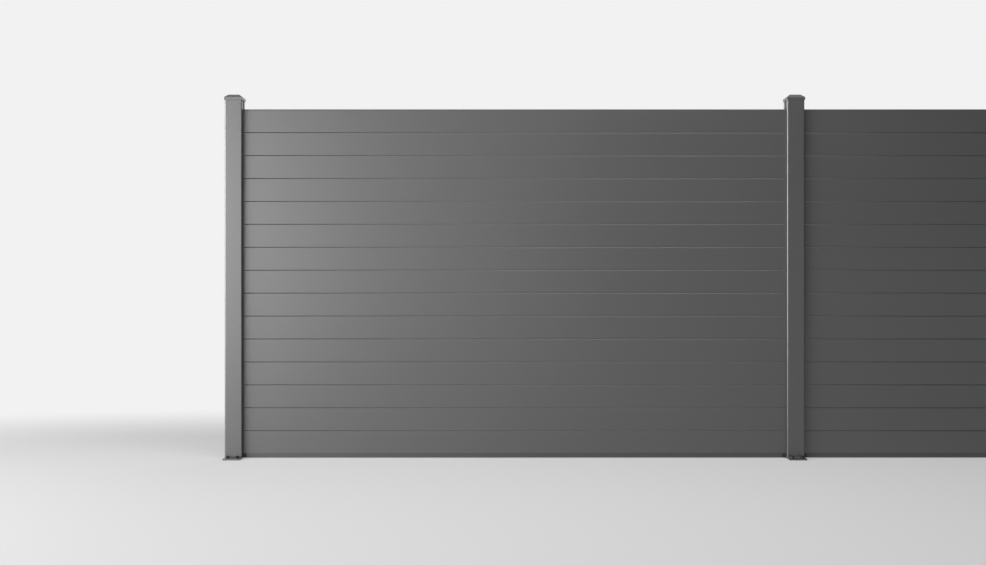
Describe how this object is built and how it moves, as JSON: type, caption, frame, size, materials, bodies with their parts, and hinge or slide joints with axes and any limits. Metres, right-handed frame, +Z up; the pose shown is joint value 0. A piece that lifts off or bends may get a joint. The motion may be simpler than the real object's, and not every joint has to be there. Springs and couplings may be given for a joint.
{
  "type": "steel slat privacy fence",
  "caption": "Privacy fence of horizontal tongue and groove steel slats held in slotted square posts on bolted base plates.",
  "frame": {"origin": "centre of the underside of the base plate of the first post, at ground level", "axes": "+X along the fence from the first post, -Y the front face, +Z up"},
  "size_m": [8.886, 0.21, 1.9],
  "materials": {
    "powder_coat": "satin",
    "rail_coat": "satin",
    "black_plastic": "matte"
  },
  "bodies": {
    "root": {"post_1": "powder_coat", "post_2": "powder_coat", "post_3": "powder_coat", "post_4": "powder_coat", "post_cap_1": "powder_coat", "post_cap_2": "powder_coat", "post_cap_3": "powder_coat", "post_cap_4": "powder_coat", "base_plate_1": "powder_coat", "base_plate_2": "powder_coat", "base_plate_3": "powder_coat", "base_plate_4": "powder_coat", "slat_panel_1": "powder_coat", "slat_panel_2": "powder_coat", "slat_panel_3": "powder_coat", "top_trim_1": "powder_coat", "top_trim_2": "powder_coat", "top_trim_3": "powder_coat", "bottom_rail_1": "rail_coat", "bottom_rail_2": "rail_coat", "bottom_rail_3": "rail_coat", "rail_supports_1": "black_plastic", "rail_supports_2": "black_plastic", "rail_supports_3": "black_plastic"}
  },
  "joints": []
}
